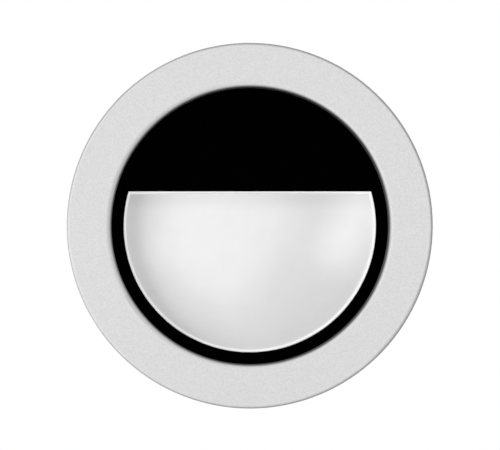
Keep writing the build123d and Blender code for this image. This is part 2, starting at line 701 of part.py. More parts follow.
def terminal_block():
    """The supply terminal, with a screw well and a wire entry for each pole."""
    body = block(TERMINAL_WIDTH, TERMINAL_DEPTH, TERMINAL_HEIGHT, 0, DRIVER_BACK_Y, TERMINAL_Z)
    top_y = DRIVER_BACK_Y + TERMINAL_DEPTH
    entry_y = DRIVER_BACK_Y + TERMINAL_ENTRY_PLACE
    entry_z = TERMINAL_Z - TERMINAL_HEIGHT / 2
    entry = Box(TERMINAL_ENTRY_SIZE, TERMINAL_ENTRY_SIZE, 2 * TERMINAL_ENTRY_DEPTH)
    for x in terminal_places():
        body -= disc(TERMINAL_WELL_DIAMETER / 2, top_y - TERMINAL_WELL_DEPTH, top_y, x, TERMINAL_Z)
        body -= Pos(x, entry_y, entry_z) * entry
    return body


def terminal_screws():
    """The clamping screws of the supply terminal."""
    floor_y = DRIVER_BACK_Y + TERMINAL_DEPTH - TERMINAL_WELL_DEPTH
    top_y = floor_y + TERMINAL_SCREW_HEIGHT
    screw = disc(TERMINAL_WELL_DIAMETER / 2 - SLIP, floor_y, top_y)
    screw -= Pos(0, top_y, 0) * Box(TERMINAL_WELL_DIAMETER, 2 * TERMINAL_SLOT_DEPTH, CROSS_WIDTH)
    return Part() + [Pos(x, 0, TERMINAL_Z) * screw for x in terminal_places()]


def rear_cover():
    """The plate that closes the driver's chamber."""
    cover = prism(body_outline(), COVER_Y, COVER_BACK_Y)
    cover = fillet(end_edges(cover, COVER_BACK_Y), COVER_ROUNDING)
    cover -= prism(spots(COVER_SCREW_PLACES, COVER_HOLE), COVER_Y, COVER_BACK_Y)
    cover -= disc(GLAND_RADIUS + SLIP, COVER_Y, COVER_BACK_Y, 0, GLAND_Z)
    return cover - disc(BREATHER_RADIUS + SLIP, COVER_Y, COVER_BACK_Y, 0, BREATHER_Z)


def cover_seal():
    """The flat seal under the rear cover, widened round each screw."""
    outline = body_outline(-SLIP) - chamber_outline()
    outline += spots(COVER_SCREW_PLACES, BOSS_DIAMETER / 2)
    return prism(outline - spots(COVER_SCREW_PLACES, COVER_HOLE), REAR_Y, COVER_Y)


def cover_screws():
    """The screws of the rear cover."""
    length = COVER_BACK_Y - REAR_Y + COVER_SCREW_BITE
    screw = pan_screw(COVER_SCREW_DIAMETER, COVER_HEAD_DIAMETER, COVER_HEAD_HEIGHT, length)
    return Part() + [from_back(x, COVER_BACK_Y, z) * screw for x, z in COVER_SCREW_PLACES]


def gland_body():
    """The cable gland: a threaded shank through the cover, a hexagon and a thread for the cap nut."""
    front_y = COVER_Y - GLAND_LOCKNUT - GLAND_SHANK_SPARE
    body = disc(GLAND_RADIUS, front_y, GLAND_END_Y, 0, GLAND_Z)
    body += hexagon(GLAND_HEXAGON_RADIUS, GLAND_HEXAGON_Y, GLAND_THREAD_Y, GLAND_Z)
    body -= disc(GLAND_BORE, front_y, GLAND_END_Y, 0, GLAND_Z)
    return body - disc(GLAND_SEAL_RADIUS + PIN_CLEARANCE, GLAND_THREAD_Y, GLAND_END_Y, 0, GLAND_Z)


def gland_seal():
    """The rubber sleeve that grips the cable when the cap nut is tightened."""
    return tube(GLAND_SEAL_RADIUS, GLAND_SEAL_BORE, GLAND_THREAD_Y, GLAND_END_Y + SLIP, 0, GLAND_Z)


def gland_nut():
    """The cap nut of the gland: a hexagon that runs into a round nose."""
    front_y = GLAND_THREAD_Y + SLIP
    inner_y = GLAND_END_Y + 2 * SLIP
    back_y = inner_y + GLAND_NUT_END
    nose = disc(GLAND_HEXAGON_RADIUS, front_y, back_y, 0, GLAND_Z)
    nose = fillet(end_edges(nose, back_y), GLAND_NUT_END)
    nut = nose + hexagon(GLAND_HEXAGON_RADIUS, front_y, front_y + GLAND_NUT_HEXAGON, GLAND_Z)
    nut -= disc(GLAND_RADIUS + SLIP, front_y, inner_y, 0, GLAND_Z)
    return nut - disc(GLAND_BORE, front_y, back_y, 0, GLAND_Z)


def gland_washer():
    """The seal between the gland's hexagon and the cover."""
    return tube(GLAND_HEXAGON_RADIUS - SLIP, GLAND_RADIUS + SLIP, COVER_BACK_Y, GLAND_HEXAGON_Y, 0, GLAND_Z)


def gland_locknut():
    """The nut that pulls the gland against the cover from inside."""
    front_y = COVER_Y - GLAND_LOCKNUT
    nut = hexagon(GLAND_HEXAGON_RADIUS, front_y, COVER_Y, GLAND_Z)
    return nut - disc(GLAND_RADIUS + SLIP, front_y, COVER_Y, 0, GLAND_Z)


def breather():
    """The plug that lets the housing breathe without letting water in."""
    top_y = COVER_BACK_Y + BREATHER_HEAD
    plug = disc(BREATHER_HEAD_RADIUS, COVER_BACK_Y, top_y, 0, BREATHER_Z)
    plug = fillet(end_edges(plug, top_y), BREATHER_ROUNDING)
    plug += disc(BREATHER_RADIUS, COVER_Y - BREATHER_THREAD_SPARE, COVER_BACK_Y, 0, BREATHER_Z)
    slot = Box(2 * BREATHER_SLOT_LENGTH, 2 * BREATHER_SLOT_DEPTH, CROSS_WIDTH)
    for i in range(BREATHER_SLOTS):
        turn = Rot(0, 360 / BREATHER_SLOTS * i, 0)
        plug -= Pos(0, COVER_BACK_Y, BREATHER_Z) * turn * Pos(BREATHER_HEAD_RADIUS, 0, 0) * slot
    return plug


def on_left(part):
    """The same part on the left side of the light."""
    return Rot(0, 180, 0) * part


def wing_bracket():
    """The steel bracket on the right: a base on the flat, two ears for the pin and a stop for the wing."""
    corner = (Align.MIN, Align.MIN, Align.CENTER)
    base = Box(BRACKET_SHEET, BRACKET_BACK_Y - BRACKET_Y, 2 * BRACKET_HALF_WIDTH, align=corner)
    stop_reach = PIVOT_X + WING_OFFSET * math.cos(WING_SLOPE) - FLAT_X
    stop = Box(stop_reach, BRACKET_SHEET, WING_WIDTH, align=corner)
    bracket = Pos(FLAT_X, BRACKET_Y, 0) * (base + stop)
    ear = Pos(PIVOT_X, PIVOT_Y) * Circle(EAR_RADIUS)
    ear += Pos((FLAT_X + PIVOT_X) / 2, PIVOT_Y) * Rectangle(PIVOT_X - FLAT_X, 2 * EAR_RADIUS)
    ear -= Pos(PIVOT_X, PIVOT_Y) * Circle(PIN_RADIUS + PIN_CLEARANCE)
    for z in (BRACKET_EAR_Z, -BRACKET_HALF_WIDTH):
        bracket += Pos(0, 0, z) * extrude(ear, amount=EAR_SHEET)
    for y in BRACKET_SCREW_PLACES:
        bracket -= Pos(FLAT_X, y, 0) * Rot(0, 90, 0) * Cylinder(SMALL_HOLE, 4 * BRACKET_SHEET)
    return bracket


def wing_pin():
    """The riveted pin the right wing turns on."""
    length = 2 * (BRACKET_HALF_WIDTH + PIN_HEAD)
    heads = Cylinder(PIN_RADIUS + PIN_HEAD_REACH, length)
    heads = fillet(heads.faces().filter_by(Axis.Z).edges(), PIN_HEAD_ROUNDING)
    heads -= Cylinder(PIN_RADIUS + PIN_HEAD_REACH, 2 * BRACKET_HALF_WIDTH)
    return Pos(PIVOT_X, PIVOT_Y, 0) * (Cylinder(PIN_RADIUS, 2 * BRACKET_HALF_WIDTH) + heads)


def wing():
    """The right wing: a bent spring-steel blade with two ears on the pin."""
    knee = math.radians(WING_KNEE_ANGLE)
    tail = (WING_OFFSET - WING_TAIL * math.sin(knee), WING_ARM + WING_TAIL * math.cos(knee))
    line = FilletPolyline((WING_OFFSET, -EAR_RADIUS), (WING_OFFSET, WING_ARM), tail, radius=WING_KNEE_BEND)
    blade = extrude(trace(line, WING_SHEET), amount=WING_WIDTH / 2, both=True)
    ear = Circle(EAR_RADIUS) + Pos(WING_OFFSET / 2, 0) * Rectangle(WING_OFFSET, 2 * EAR_RADIUS)
    ear -= Circle(PIN_RADIUS + PIN_CLEARANCE)
    for z in (WING_WIDTH / 2 - WING_SHEET, -WING_WIDTH / 2):
        blade += Pos(0, 0, z) * extrude(ear, amount=WING_SHEET)
    outward = (math.cos(WING_SLOPE), -math.sin(WING_SLOPE), 0)
    return Plane(origin=(PIVOT_X, PIVOT_Y, 0), x_dir=outward, z_dir=(0, 0, 1)) * blade


def biarc(start, start_way, end, end_way):
    """Two arcs that join two points smoothly, each with its own direction of travel."""
    reach = end - start
    both = start_way + end_way
    bend = 2 * (1 - start_way.dot(end_way))
    along = reach.dot(both)
    size = (math.sqrt(along ** 2 + bend * reach.dot(reach)) - along) / bend
    joint = (start + end + (start_way - end_way) * size) * 0.5
    return [
        TangentArc(start, joint, tangent=start_way),
        TangentArc(joint, end, tangent=reach - both * size),
    ]


def coil_route():
    """The line of the right torsion spring: a leg on the bracket, the coil, and a leg under the wing."""
    turn = 2 * math.pi * SPRING_TURNS + math.pi - WING_SLOPE
    pitch = SPRING_WIRE + SPRING_COIL_GAP
    width = pitch * turn / (2 * math.pi)
    quarters = round(turn / (math.pi / 2))
    points = []
    ways = []
    for i in range(quarters + 1):
        angle = math.pi + turn * i / quarters
        climb = pitch / (2 * math.pi * COIL_RADIUS) if 0 < i < quarters else 0
        outward = Vector(math.cos(angle), math.sin(angle), 0)
        points.append(Vector(PIVOT_X, PIVOT_Y, width * (i / quarters - 0.5)) + outward * COIL_RADIUS)
        ways.append(Vector(-math.sin(angle), math.cos(angle), climb).normalized())
    edges = [Line(points[0] - ways[0] * SPRING_FIXED_LEG, points[0])]
    for i in range(quarters):
        edges += biarc(points[i], ways[i], points[i + 1], ways[i + 1])
    edges.append(Line(points[-1], points[-1] + ways[-1] * SPRING_MOVING_LEG))
    return Wire(edges)


def wing_spring():
    """The torsion spring on the right pin."""
    route = coil_route()
    section = Plane(origin=route @ 0, z_dir=route % 0) * Circle(SPRING_WIRE / 2)
    coil = sweep(section, path=route)
    print("spring gap to itself", round(least_gap(route, SPRING_WIRE), 3),
          "volume share", volume_share(coil, SPRING_WIRE, route))
    return coil


def least_gap(route, diameter):
    """The least clear distance between two stretches of one wire, measured on points along it."""
    steps = round(4 * route.length / diameter)
    points = [route @ (i / steps) for i in range(steps + 1)]
    apart = round(math.pi * diameter * steps / route.length)
    distances = [
        (a - b).length
        for i, a in enumerate(points)
        for b in points[i + apart:]
    ]
    return min(distances) - diameter


def bracket_screws():
    """The screws of both brackets."""
    screw = Rot(0, 90, 0) * small_screw(BRACKET_SHEET + SMALL_SCREW_BITE)
    right = [Pos(BRACKET_X, y, 0) * screw for y in BRACKET_SCREW_PLACES]
    return Part() + right + [on_left(one) for one in right]


PARTS = {
    "face_ring": face_ring,
    "mounting_collar": mounting_collar,
    "wall_gasket": wall_gasket,
    "front_mask": front_mask,
    "diffuser": diffuser,
    "diffuser_seal": diffuser_seal,
    "front_seal": front_seal,
    "reflector": reflector,
    "led_packages": led_packages,
    "led_board": led_board,
    "led_plug": led_plug,
    "led_screws": led_screws,
    "thermal_pad": thermal_pad,
    "housing": housing,
    "ring_screws": ring_screws,
    "lead_grommet": lead_grommet,
    "lead_positive": lambda: lead(1),
    "lead_negative": lambda: lead(-1),
    "driver_board": driver_board,
    "driver_screws": driver_screws,
    "transformer": transformer,
    "transformer_winding": transformer_winding,
    "capacitor": capacitor,
    "inductor": inductor,
    "lead_header": lead_header,
    "terminal_block": terminal_block,
    "terminal_screws": terminal_screws,
    "cover_seal": cover_seal,
    "rear_cover": rear_cover,
    "cover_screws": cover_screws,
    "breather": breather,
    "gland_body": gland_body,
    "gland_seal": gland_seal,
    "gland_nut": gland_nut,
    "gland_washer": gland_washer,
    "gland_locknut": gland_locknut,
    "bracket_screws": bracket_screws,
    "right_wing_bracket": wing_bracket,
    "right_wing_pin": wing_pin,
    "right_wing": wing,
    "right_wing_spring": wing_spring,
    "left_wing_bracket": lambda: on_left(wing_bracket()),
    "left_wing_pin": lambda: on_left(wing_pin()),
    "left_wing": lambda: on_left(wing()),
    "left_wing_spring": lambda: on_left(wing_spring()),
}

os.makedirs("parts", exist_ok=True)
for name, make in PARTS.items():
    export_step(make(), f"parts/{name}.step")
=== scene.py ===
import json
import math

import bpy
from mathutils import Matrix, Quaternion, Vector


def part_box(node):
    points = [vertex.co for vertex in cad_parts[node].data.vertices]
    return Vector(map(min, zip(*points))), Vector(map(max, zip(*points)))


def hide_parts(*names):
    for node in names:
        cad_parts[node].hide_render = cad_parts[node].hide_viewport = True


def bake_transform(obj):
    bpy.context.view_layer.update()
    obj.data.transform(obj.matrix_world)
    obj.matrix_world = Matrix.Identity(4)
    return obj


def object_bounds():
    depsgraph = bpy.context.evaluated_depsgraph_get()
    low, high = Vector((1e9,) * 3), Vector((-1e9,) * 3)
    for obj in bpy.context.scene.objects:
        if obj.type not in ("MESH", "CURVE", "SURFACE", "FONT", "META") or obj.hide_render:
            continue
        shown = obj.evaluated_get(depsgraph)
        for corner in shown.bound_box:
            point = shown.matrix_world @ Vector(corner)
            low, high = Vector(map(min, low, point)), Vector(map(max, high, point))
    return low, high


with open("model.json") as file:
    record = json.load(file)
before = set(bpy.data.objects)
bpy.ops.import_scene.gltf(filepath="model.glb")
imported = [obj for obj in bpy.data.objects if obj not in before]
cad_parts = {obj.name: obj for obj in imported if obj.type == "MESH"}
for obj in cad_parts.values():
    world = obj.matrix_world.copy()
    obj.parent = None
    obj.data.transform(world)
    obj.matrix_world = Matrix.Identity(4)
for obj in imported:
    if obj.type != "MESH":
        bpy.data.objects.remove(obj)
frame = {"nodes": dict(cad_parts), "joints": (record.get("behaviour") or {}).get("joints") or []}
cad_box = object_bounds()

# The photograph's frame, and the ring's centre and width in it, in pixels
PHOTO_WIDTH = 500
PHOTO_HEIGHT = 450
RING_CENTRE_X = 249.8
RING_CENTRE_Y = 225.2
RING_WIDTH = 366.3

# The camera, a little below the light's axis, in metres and degrees, and its sensor in millimetres
CAMERA_DISTANCE = 0.9
CAMERA_ELEVATION = -2.5
SENSOR_WIDTH = 36.0

# The lamps: where they stand round the light and their roll, in degrees, their size in metres and
# their power in watts
LAMP_DISTANCE = 2.5
LAMPS = {
    "side_box": dict(azimuth=-71.5, elevation=-1.0, roll=0.0, width=0.9, height=0.9, power=43.0),
    "front_box": dict(azimuth=-4.0, elevation=1.5, roll=-33.0, width=0.72, height=0.72, power=12.6),
    "strip": dict(azimuth=15.0, elevation=4.0, roll=-30.0, width=0.24, height=0.7, power=8.3),
    "back_box": dict(azimuth=150.0, elevation=30.0, roll=0.0, width=2.2, height=2.2, power=27.0),
}

# The white surroundings: their strength as a light, and to look at
AMBIENT = 0.40
BACKDROP = 1.0

# The floor, below what the camera sees: its place and size in metres, then its surface
FLOOR_DROP = 0.060
FLOOR_SIZE = 0.9
FLOOR_TONE = 0.8
FLOOR_ROUGHNESS = 0.9
FLOOR_GLOW = 0.52

# Painted shade on the ring's paint, darker at the opening, on the outer rounding and on the side
# wall. A reach runs between two distances from a line just beside the light's axis, which is given
# by its x and z, and the side wall starts between two depths, all in metres. A share is what is
# left of the paint's own tone.
OPENING_SHADE_REACH = (0.0322, 0.03295)
OPENING_SHADE_LINE = (0.00018, -0.00008)
OPENING_SHADE_TONE = 0.04
RIM_SHADE_REACH = (0.0419, 0.0424)
RIM_SHADE_LINE = (-0.00003, -0.00005)
RIM_SHADE_SHARE = 0.52
SIDE_SHADE_START = (-0.0052, -0.0048)
SIDE_SHADE_SHARE = 0.8

# Painted light on the opal: painted shade, greyer towards its level top, and a painted highlight,
# paler on its lip. Heights and distances from the light's axis are in metres.
TOP_SHADE_REACH = (0.0030, 0.0066)
TOP_SHADE_TONE = 0.685
ROUND_LIP_HIGHLIGHT_REACH = (0.02873, 0.02885)
LEVEL_LIP_HIGHLIGHT_REACH = (0.0073, 0.0074)
LIP_HIGHLIGHT_TONE = 0.93

# The circuit boards' tracks: their pitch in metres, and the width of a track as a share of it
TRACK_PITCH = 0.004
TRACK_SHARE = 0.06

# A surface faces the front where its normal's y is below this
FRONT_NORMAL = -0.5

# The torsion springs, in metres
WIRE_DIAMETER = 0.0008
COIL_RADIUS = 0.0025
COIL_PITCH = 0.0014
COIL_TURNS = 4
FIXED_LEG = 0.006
MOVING_LEG = 0.009
WING_SLOPE = math.radians(30.0)
STEPS_PER_TURN = 48
WIRE_RESOLUTION = 8

# The middle of a texture's range, where most of its values lie
TEXTURE_LOW = 0.3
TEXTURE_HIGH = 0.7

# The colour sockets of a mix node, which share their names with others
MIX_SHARE = 0
MIX_FIRST = 6
MIX_SECOND = 7
MIX_RESULT = 2

WHITE = (1.0, 1.0, 1.0, 1.0)
WHOLE_SCALE = (1.0, 1.0, 1.0)


def set_inputs(node, sockets):
    """Sets a node's inputs by their names, which have underscores for spaces here."""
    for socket, value in sockets.items():
        node.inputs[socket.replace("_", " ")].default_value = value


def new_node(tree, kind, **sockets):
    """A shader node with some of its inputs set."""
    node = tree.nodes.new(kind)
    set_inputs(node, sockets)
    return node


def larger_of(tree, first, second):
    """The larger of two numbers."""
    node = tree.nodes.new("ShaderNodeMath")
    node.operation = "MAXIMUM"
    tree.links.new(first, node.inputs[0])
    tree.links.new(second, node.inputs[1])
    return node.outputs["Value"]


class Finish:
    """A material under construction: a shader, and textures laid out in the part's own frame."""

    def __init__(self, name, **sockets):
        self.material = bpy.data.materials.new(name)
        self.material.use_nodes = True
        self.tree = self.material.node_tree
        self.shader = self.tree.nodes["Principled BSDF"]
        self.coordinates = self.tree.nodes.new("ShaderNodeTexCoord")
        self.normal = None
        set_inputs(self.shader, sockets)

    def link(self, output, target):
        """Joins an output to an input."""
        self.tree.links.new(output, target)

    def place(self, stretch):
        """The point on the part, with each axis drawn out by its own factor."""
        if stretch == WHOLE_SCALE:
            return self.coordinates.outputs["Object"]
        shrink = [1 / factor for factor in stretch]
        mapping = new_node(self.tree, "ShaderNodeMapping", Scale=shrink)
        self.link(self.coordinates.outputs["Object"], mapping.inputs["Vector"])
        return mapping.outputs["Vector"]

    def noise(self, size, stretch=WHOLE_SCALE, detail=2.0):
        """Soft random patches of about a size."""
        texture = new_node(self.tree, "ShaderNodeTexNoise", Scale=1 / size, Detail=detail)
        self.link(self.place(stretch), texture.inputs["Vector"])
        return texture.outputs["Fac"]

    def cells(self, size):
        """Random pits of about a size."""
        texture = new_node(self.tree, "ShaderNodeTexVoronoi", Scale=1 / size)
        self.link(self.place(WHOLE_SCALE), texture.inputs["Vector"])
        return texture.outputs["Distance"]

    def ranged(self, value, start, end, low, high):
        """A node that takes a number from between two values to between two others."""
        levels = {"From_Min": start, "From_Max": end, "To_Min": low, "To_Max": high}
        node = new_node(self.tree, "ShaderNodeMapRange", **levels)
        self.link(value, node.inputs["Value"])
        return node

    def spread(self, share, low=0.0, high=1.0):
        """A texture's value, as a number between two others."""
        return self.ranged(share, TEXTURE_LOW, TEXTURE_HIGH, low, high).outputs["Result"]

    def step(self, value, reach, low=0.0, high=1.0):
        """A number that goes smoothly from one level to another over a reach of values."""
        node = self.ranged(value, *reach, low, high)
        node.interpolation_type = "SMOOTHSTEP"
        return node.outputs["Result"]

    def from_axis(self, x=0.0, z=0.0):
        """How far the point is from the light's axis, or from a line beside it."""
        flat = self.tree.nodes.new("ShaderNodeVectorMath")
        flat.operation = "MULTIPLY"
        flat.inputs[1].default_value = (1.0, 0.0, 1.0)
        distance = self.tree.nodes.new("ShaderNodeVectorMath")
        distance.operation = "DISTANCE"
        distance.inputs[1].default_value = (x, 0.0, z)
        self.link(self.coordinates.outputs["Object"], flat.inputs[0])
        self.link(flat.outputs["Vector"], distance.inputs[0])
        return distance.outputs["Value"]

    def along(self, axis, of="Object"):
        """The point's place, or its normal, along an axis of the part's frame."""
        split = self.tree.nodes.new("ShaderNodeSeparateXYZ")
        self.link(self.coordinates.outputs[of], split.inputs["Vector"])
        return split.outputs[axis]

    def below(self, value, limit):
        """1 where a number is below a limit, and 0 elsewhere."""
        node = self.tree.nodes.new("ShaderNodeMath")
        node.operation = "LESS_THAN"
        node.inputs[1].default_value = limit
        self.link(value, node.inputs[0])
        return node.outputs["Value"]

    def mixed(self, share, first, second):
        """A colour between two others."""
        node = self.tree.nodes.new("ShaderNodeMix")
        node.data_type = "RGBA"
        self.link(share, node.inputs[MIX_SHARE])
        for place, colour in ((MIX_FIRST, first), (MIX_SECOND, second)):
            if isinstance(colour, bpy.types.NodeSocket):
                self.link(colour, node.inputs[place])
            else:
                node.inputs[place].default_value = (*colour, 1.0)
        return node.outputs[MIX_RESULT]

    def paint(self, colour):
        """Gives the surface a colour that a node makes."""
        self.link(colour, self.shader.inputs["Base Color"])

    def colour(self, share, first, second):
        """Colours the surface between two colours."""
        self.paint(self.mixed(self.spread(share), first, second))

    def roughness(self, share, low, high):
        """Varies the gloss."""
        self.link(self.spread(share, low, high), self.shader.inputs["Roughness"])

    def bump(self, share, depth):
        """Adds relief of about a depth."""
        node = new_node(self.tree, "ShaderNodeBump", Strength=1.0, Distance=depth)
        self.link(share, node.inputs["Height"])
        if self.normal:
            self.link(self.normal, node.inputs["Normal"])
        self.normal = node.outputs["Normal"]
        self.link(self.normal, self.shader.inputs["Normal"])


def grey(level):
    """A neutral colour."""
    return (level, level, level)


def face_paint():
    """Satin silver paint with a very fine grain, and painted shade at the opening, on the outer
    edge and on the side wall.
    """
    finish = Finish("satin_silver_paint_with_painted_shade", Specular_IOR_Level=0.35)
    grain = finish.noise(size=0.0003, detail=3.0)
    silver = finish.mixed(finish.spread(grain), grey(0.645), grey(0.75))
    # Painted shade: the paint darkens to near black towards the opening and over its rounded edge,
    # round a line a little off the axis
    opening_shade = finish.step(finish.from_axis(*OPENING_SHADE_LINE), OPENING_SHADE_REACH)
    shaded = finish.mixed(opening_shade, grey(OPENING_SHADE_TONE), silver)
    # Painted shade on the outer rounding: the paint darkens to about half its tone
    rim_shade = finish.step(finish.from_axis(*RIM_SHADE_LINE), RIM_SHADE_REACH, low=1.0, high=RIM_SHADE_SHARE)
    # Painted shade on the side wall, a little darker than the face
    side = finish.step(finish.along("Y"), SIDE_SHADE_START, high=SIDE_SHADE_SHARE)
    # The painted shade on the rim and the side wall takes the paint down towards black
    finish.paint(finish.mixed(larger_of(finish.tree, rim_shade, side), grey(0.0), shaded))
    finish.roughness(finish.noise(size=0.0011), low=0.44, high=0.54)
    finish.bump(grain, depth=0.00001)
    return finish


def mask_plastic():
    """Deep matte black moulding."""
    finish = Finish("matte_black_moulding", Specular_IOR_Level=0.0)
    grain = finish.cells(size=0.00022)
    finish.colour(finish.noise(size=0.002), grey(0.0003), grey(0.0005))
    finish.roughness(grain, low=0.82, high=0.92)
    finish.bump(grain, depth=0.000008)
    return finish


def diffuser_opal():
    """Satin opal plastic that lets light a little way in, with painted shade towards its level top
    and a painted highlight on its lip.
    """
    finish = Finish(
        "satin_opal_with_painted_light",
        Subsurface_Weight=0.2,
        Subsurface_Radius=(1.0, 1.0, 1.0),
        Subsurface_Scale=0.001,
        Specular_IOR_Level=0.25,
    )
    height = finish.along("Z")
    opal = finish.mixed(finish.spread(finish.noise(size=0.004)), grey(0.735), grey(0.755))
    # Painted shade: the opal turns greyer towards its level top
    opal_with_top_shade = finish.mixed(finish.step(height, TOP_SHADE_REACH), opal, grey(TOP_SHADE_TONE))
    # Painted highlight: the opal's lip, round its curve and along its level top, is paler
    round_lip_highlight = finish.step(finish.from_axis(), ROUND_LIP_HIGHLIGHT_REACH)
    level_lip_highlight = finish.step(height, LEVEL_LIP_HIGHLIGHT_REACH)
    lip_highlight = larger_of(finish.tree, round_lip_highlight, level_lip_highlight)
    finish.paint(finish.mixed(lip_highlight, opal_with_top_shade, grey(LIP_HIGHLIGHT_TONE)))
    finish.roughness(finish.noise(size=0.0008), low=0.13, high=0.19)
    finish.bump(finish.noise(size=0.00015), depth=0.000002)
    return finish


def rubber(name, dark, light):
    """Moulded rubber with a dull, slightly pitted skin."""
    finish = Finish(name, Specular_IOR_Level=0.3)
    finish.colour(finish.noise(size=0.0016, detail=4.0), dark, light)
    finish.roughness(finish.noise(size=0.0006), low=0.68, high=0.86)
    finish.bump(finish.cells(size=0.00018), depth=0.00001)
    return finish


def moulding(name, dark, light, rough=0.45, grain=0.0002):
    """Moulded plastic with an eroded tool finish."""
    finish = Finish(name, Specular_IOR_Level=0.45)
    finish.colour(finish.noise(size=0.003, detail=3.0), dark, light)
    finish.roughness(finish.noise(size=0.0008), low=rough, high=rough + 0.14)
    finish.bump(finish.cells(size=grain), depth=0.000009)
    return finish


def cast_housing():
    """Fine-blasted die casting, cloudy where the metal flowed."""
    finish = Finish("blasted_casting", Metallic=0.85)
    flow = finish.noise(size=0.009, detail=5.0)
    finish.colour(flow, (0.41, 0.42, 0.43), (0.53, 0.535, 0.54))
    finish.roughness(finish.noise(size=0.0006, detail=3.0), low=0.46, high=0.62)
    finish.bump(flow, depth=0.00003)
    finish.bump(finish.cells(size=0.00024), depth=0.000016)
    return finish


def rolled_steel(name, dark, light, rough, stretch):
    """Sheet or bar with fine lines along the way it was drawn."""
    finish = Finish(name, Metallic=1.0)
    lines = finish.noise(size=0.00012, stretch=stretch, detail=4.0)
    finish.colour(finish.noise(size=0.004, detail=3.0), dark, light)
    finish.roughness(lines, low=rough, high=rough + 0.16)
    finish.bump(lines, depth=0.000004)
    return finish


def led_phosphor():
    """Yellow phosphor on the front of a white package."""
    finish = Finish("phosphor_package", Specular_IOR_Level=0.5)
    front = finish.below(finish.along("Y", of="Normal"), FRONT_NORMAL)
    grain = finish.noise(size=0.0004, detail=3.0)
    phosphor = finish.mixed(finish.spread(grain), (0.84, 0.62, 0.10), (0.92, 0.76, 0.20))
    finish.paint(finish.mixed(front, grey(0.82), phosphor))
    finish.roughness(grain, low=0.25, high=0.4)
    finish.bump(grain, depth=0.00001)
    return finish


def circuit_board(name, mask, trace):
    """Solder mask over copper tracks, which show as paler, raised stripes."""
    finish = Finish(name, Specular_IOR_Level=0.5)
    turn = new_node(finish.tree, "ShaderNodeMapping", Rotation=(math.pi / 2, 0.0, 0.0))
    sizes = {"Scale": 1 / TRACK_PITCH, "Mortar_Size": TRACK_SHARE}
    tracks = new_node(finish.tree, "ShaderNodeTexBrick", **sizes)
    finish.link(finish.coordinates.outputs["Object"], turn.inputs["Vector"])
    finish.link(turn.outputs["Vector"], tracks.inputs["Vector"])
    finish.paint(finish.mixed(tracks.outputs["Fac"], mask, trace))
    finish.roughness(finish.noise(size=0.0007), low=0.28, high=0.42)
    finish.bump(tracks.outputs["Fac"], depth=0.00003)
    return finish


def coated(name, dark, light):
    """Insulation, sleeve or tape with a faint gloss."""
    finish = Finish(name, Specular_IOR_Level=0.5)
    finish.colour(finish.noise(size=0.0015), dark, light)
    finish.roughness(finish.noise(size=0.0005), low=0.36, high=0.5)
    finish.bump(finish.noise(size=0.00025), depth=0.000006)
    return finish


# The finish of each of the record's material slots
FINISHES = {
    "face_paint": face_paint(),
    "mask_plastic": mask_plastic(),
    "diffuser_opal": diffuser_opal(),
    "seal_rubber": rubber("black_rubber", grey(0.018), grey(0.03)),
    "seal_silicone": rubber("red_silicone", (0.36, 0.10, 0.07), (0.44, 0.14, 0.10)),
    "reflector_white": moulding("white_reflector", grey(0.82), grey(0.86), rough=0.6),
    "led_phosphor": led_phosphor(),
    "led_board_mask": circuit_board("white_board", grey(0.80), (0.70, 0.70, 0.68)),
    "thermal_grey": rubber("heat_pad", (0.28, 0.32, 0.36), (0.34, 0.38, 0.42)),
    "cast_housing": cast_housing(),
    "zinc_steel": rolled_steel(
        "zinc_plate", (0.55, 0.56, 0.56), (0.66, 0.67, 0.70), rough=0.30, stretch=(1, 20, 1)
    ),
    "stainless": rolled_steel(
        "stainless", (0.36, 0.36, 0.36), (0.44, 0.44, 0.45), rough=0.44, stretch=(30, 30, 1)
    ),
    "spring_steel": rolled_steel(
        "spring_wire", (0.36, 0.36, 0.38), (0.48, 0.48, 0.50), rough=0.26, stretch=(8, 8, 1)
    ),
    "ivory_plastic": moulding("ivory_nylon", (0.72, 0.68, 0.55), (0.79, 0.75, 0.63)),
    "lead_red": coated("red_insulation", (0.48, 0.025, 0.018), (0.58, 0.04, 0.025)),
    "lead_black": coated("black_insulation", grey(0.016), grey(0.026)),
    "driver_green": circuit_board("green_board", (0.02, 0.13, 0.05), (0.06, 0.26, 0.10)),
    "ferrite": moulding("ferrite", grey(0.055), grey(0.085), rough=0.7, grain=0.0003),
    "winding_tape": coated("winding_tape", (0.74, 0.52, 0.05), (0.82, 0.60, 0.09)),
    "capacitor_sleeve": coated("capacitor_sleeve", (0.015, 0.02, 0.07), (0.025, 0.035, 0.10)),
    "terminal_green": moulding("green_nylon", (0.04, 0.26, 0.11), (0.06, 0.33, 0.15)),
    "brass": rolled_steel(
        "brass", (0.66, 0.48, 0.20), (0.74, 0.56, 0.27), rough=0.28, stretch=(1, 12, 1)
    ),
    "gland_nylon": moulding("black_nylon", grey(0.022), grey(0.036)),
}


def dress(node):
    """Gives a node the finish of its slot."""
    for place in node.material_slots:
        place.material = FINISHES[place.material.name].material


def spring_route(side):
    """Points along one spring, from the leg on the bracket, round the coil, to the wing's leg."""
    turn = 2 * math.pi * COIL_TURNS + math.pi - WING_SLOPE
    width = COIL_PITCH * turn / (2 * math.pi)
    steps = round(STEPS_PER_TURN * turn / (2 * math.pi))
    coil = []
    for i in range(steps + 1):
        angle = math.pi + turn * i / steps
        outward = Vector((math.cos(angle), math.sin(angle), 0.0)) * COIL_RADIUS
        coil.append(outward + Vector((0.0, 0.0, width * (i / steps - 0.5))))
    last = math.pi + turn
    first_leg = coil[0] + Vector((0.0, FIXED_LEG, 0.0))
    last_leg = coil[-1] + Vector((-math.sin(last), math.cos(last), 0.0)) * MOVING_LEG
    route = [first_leg, *coil, last_leg]
    return [Vector((side * point.x, point.y, side * point.z)) for point in route], width


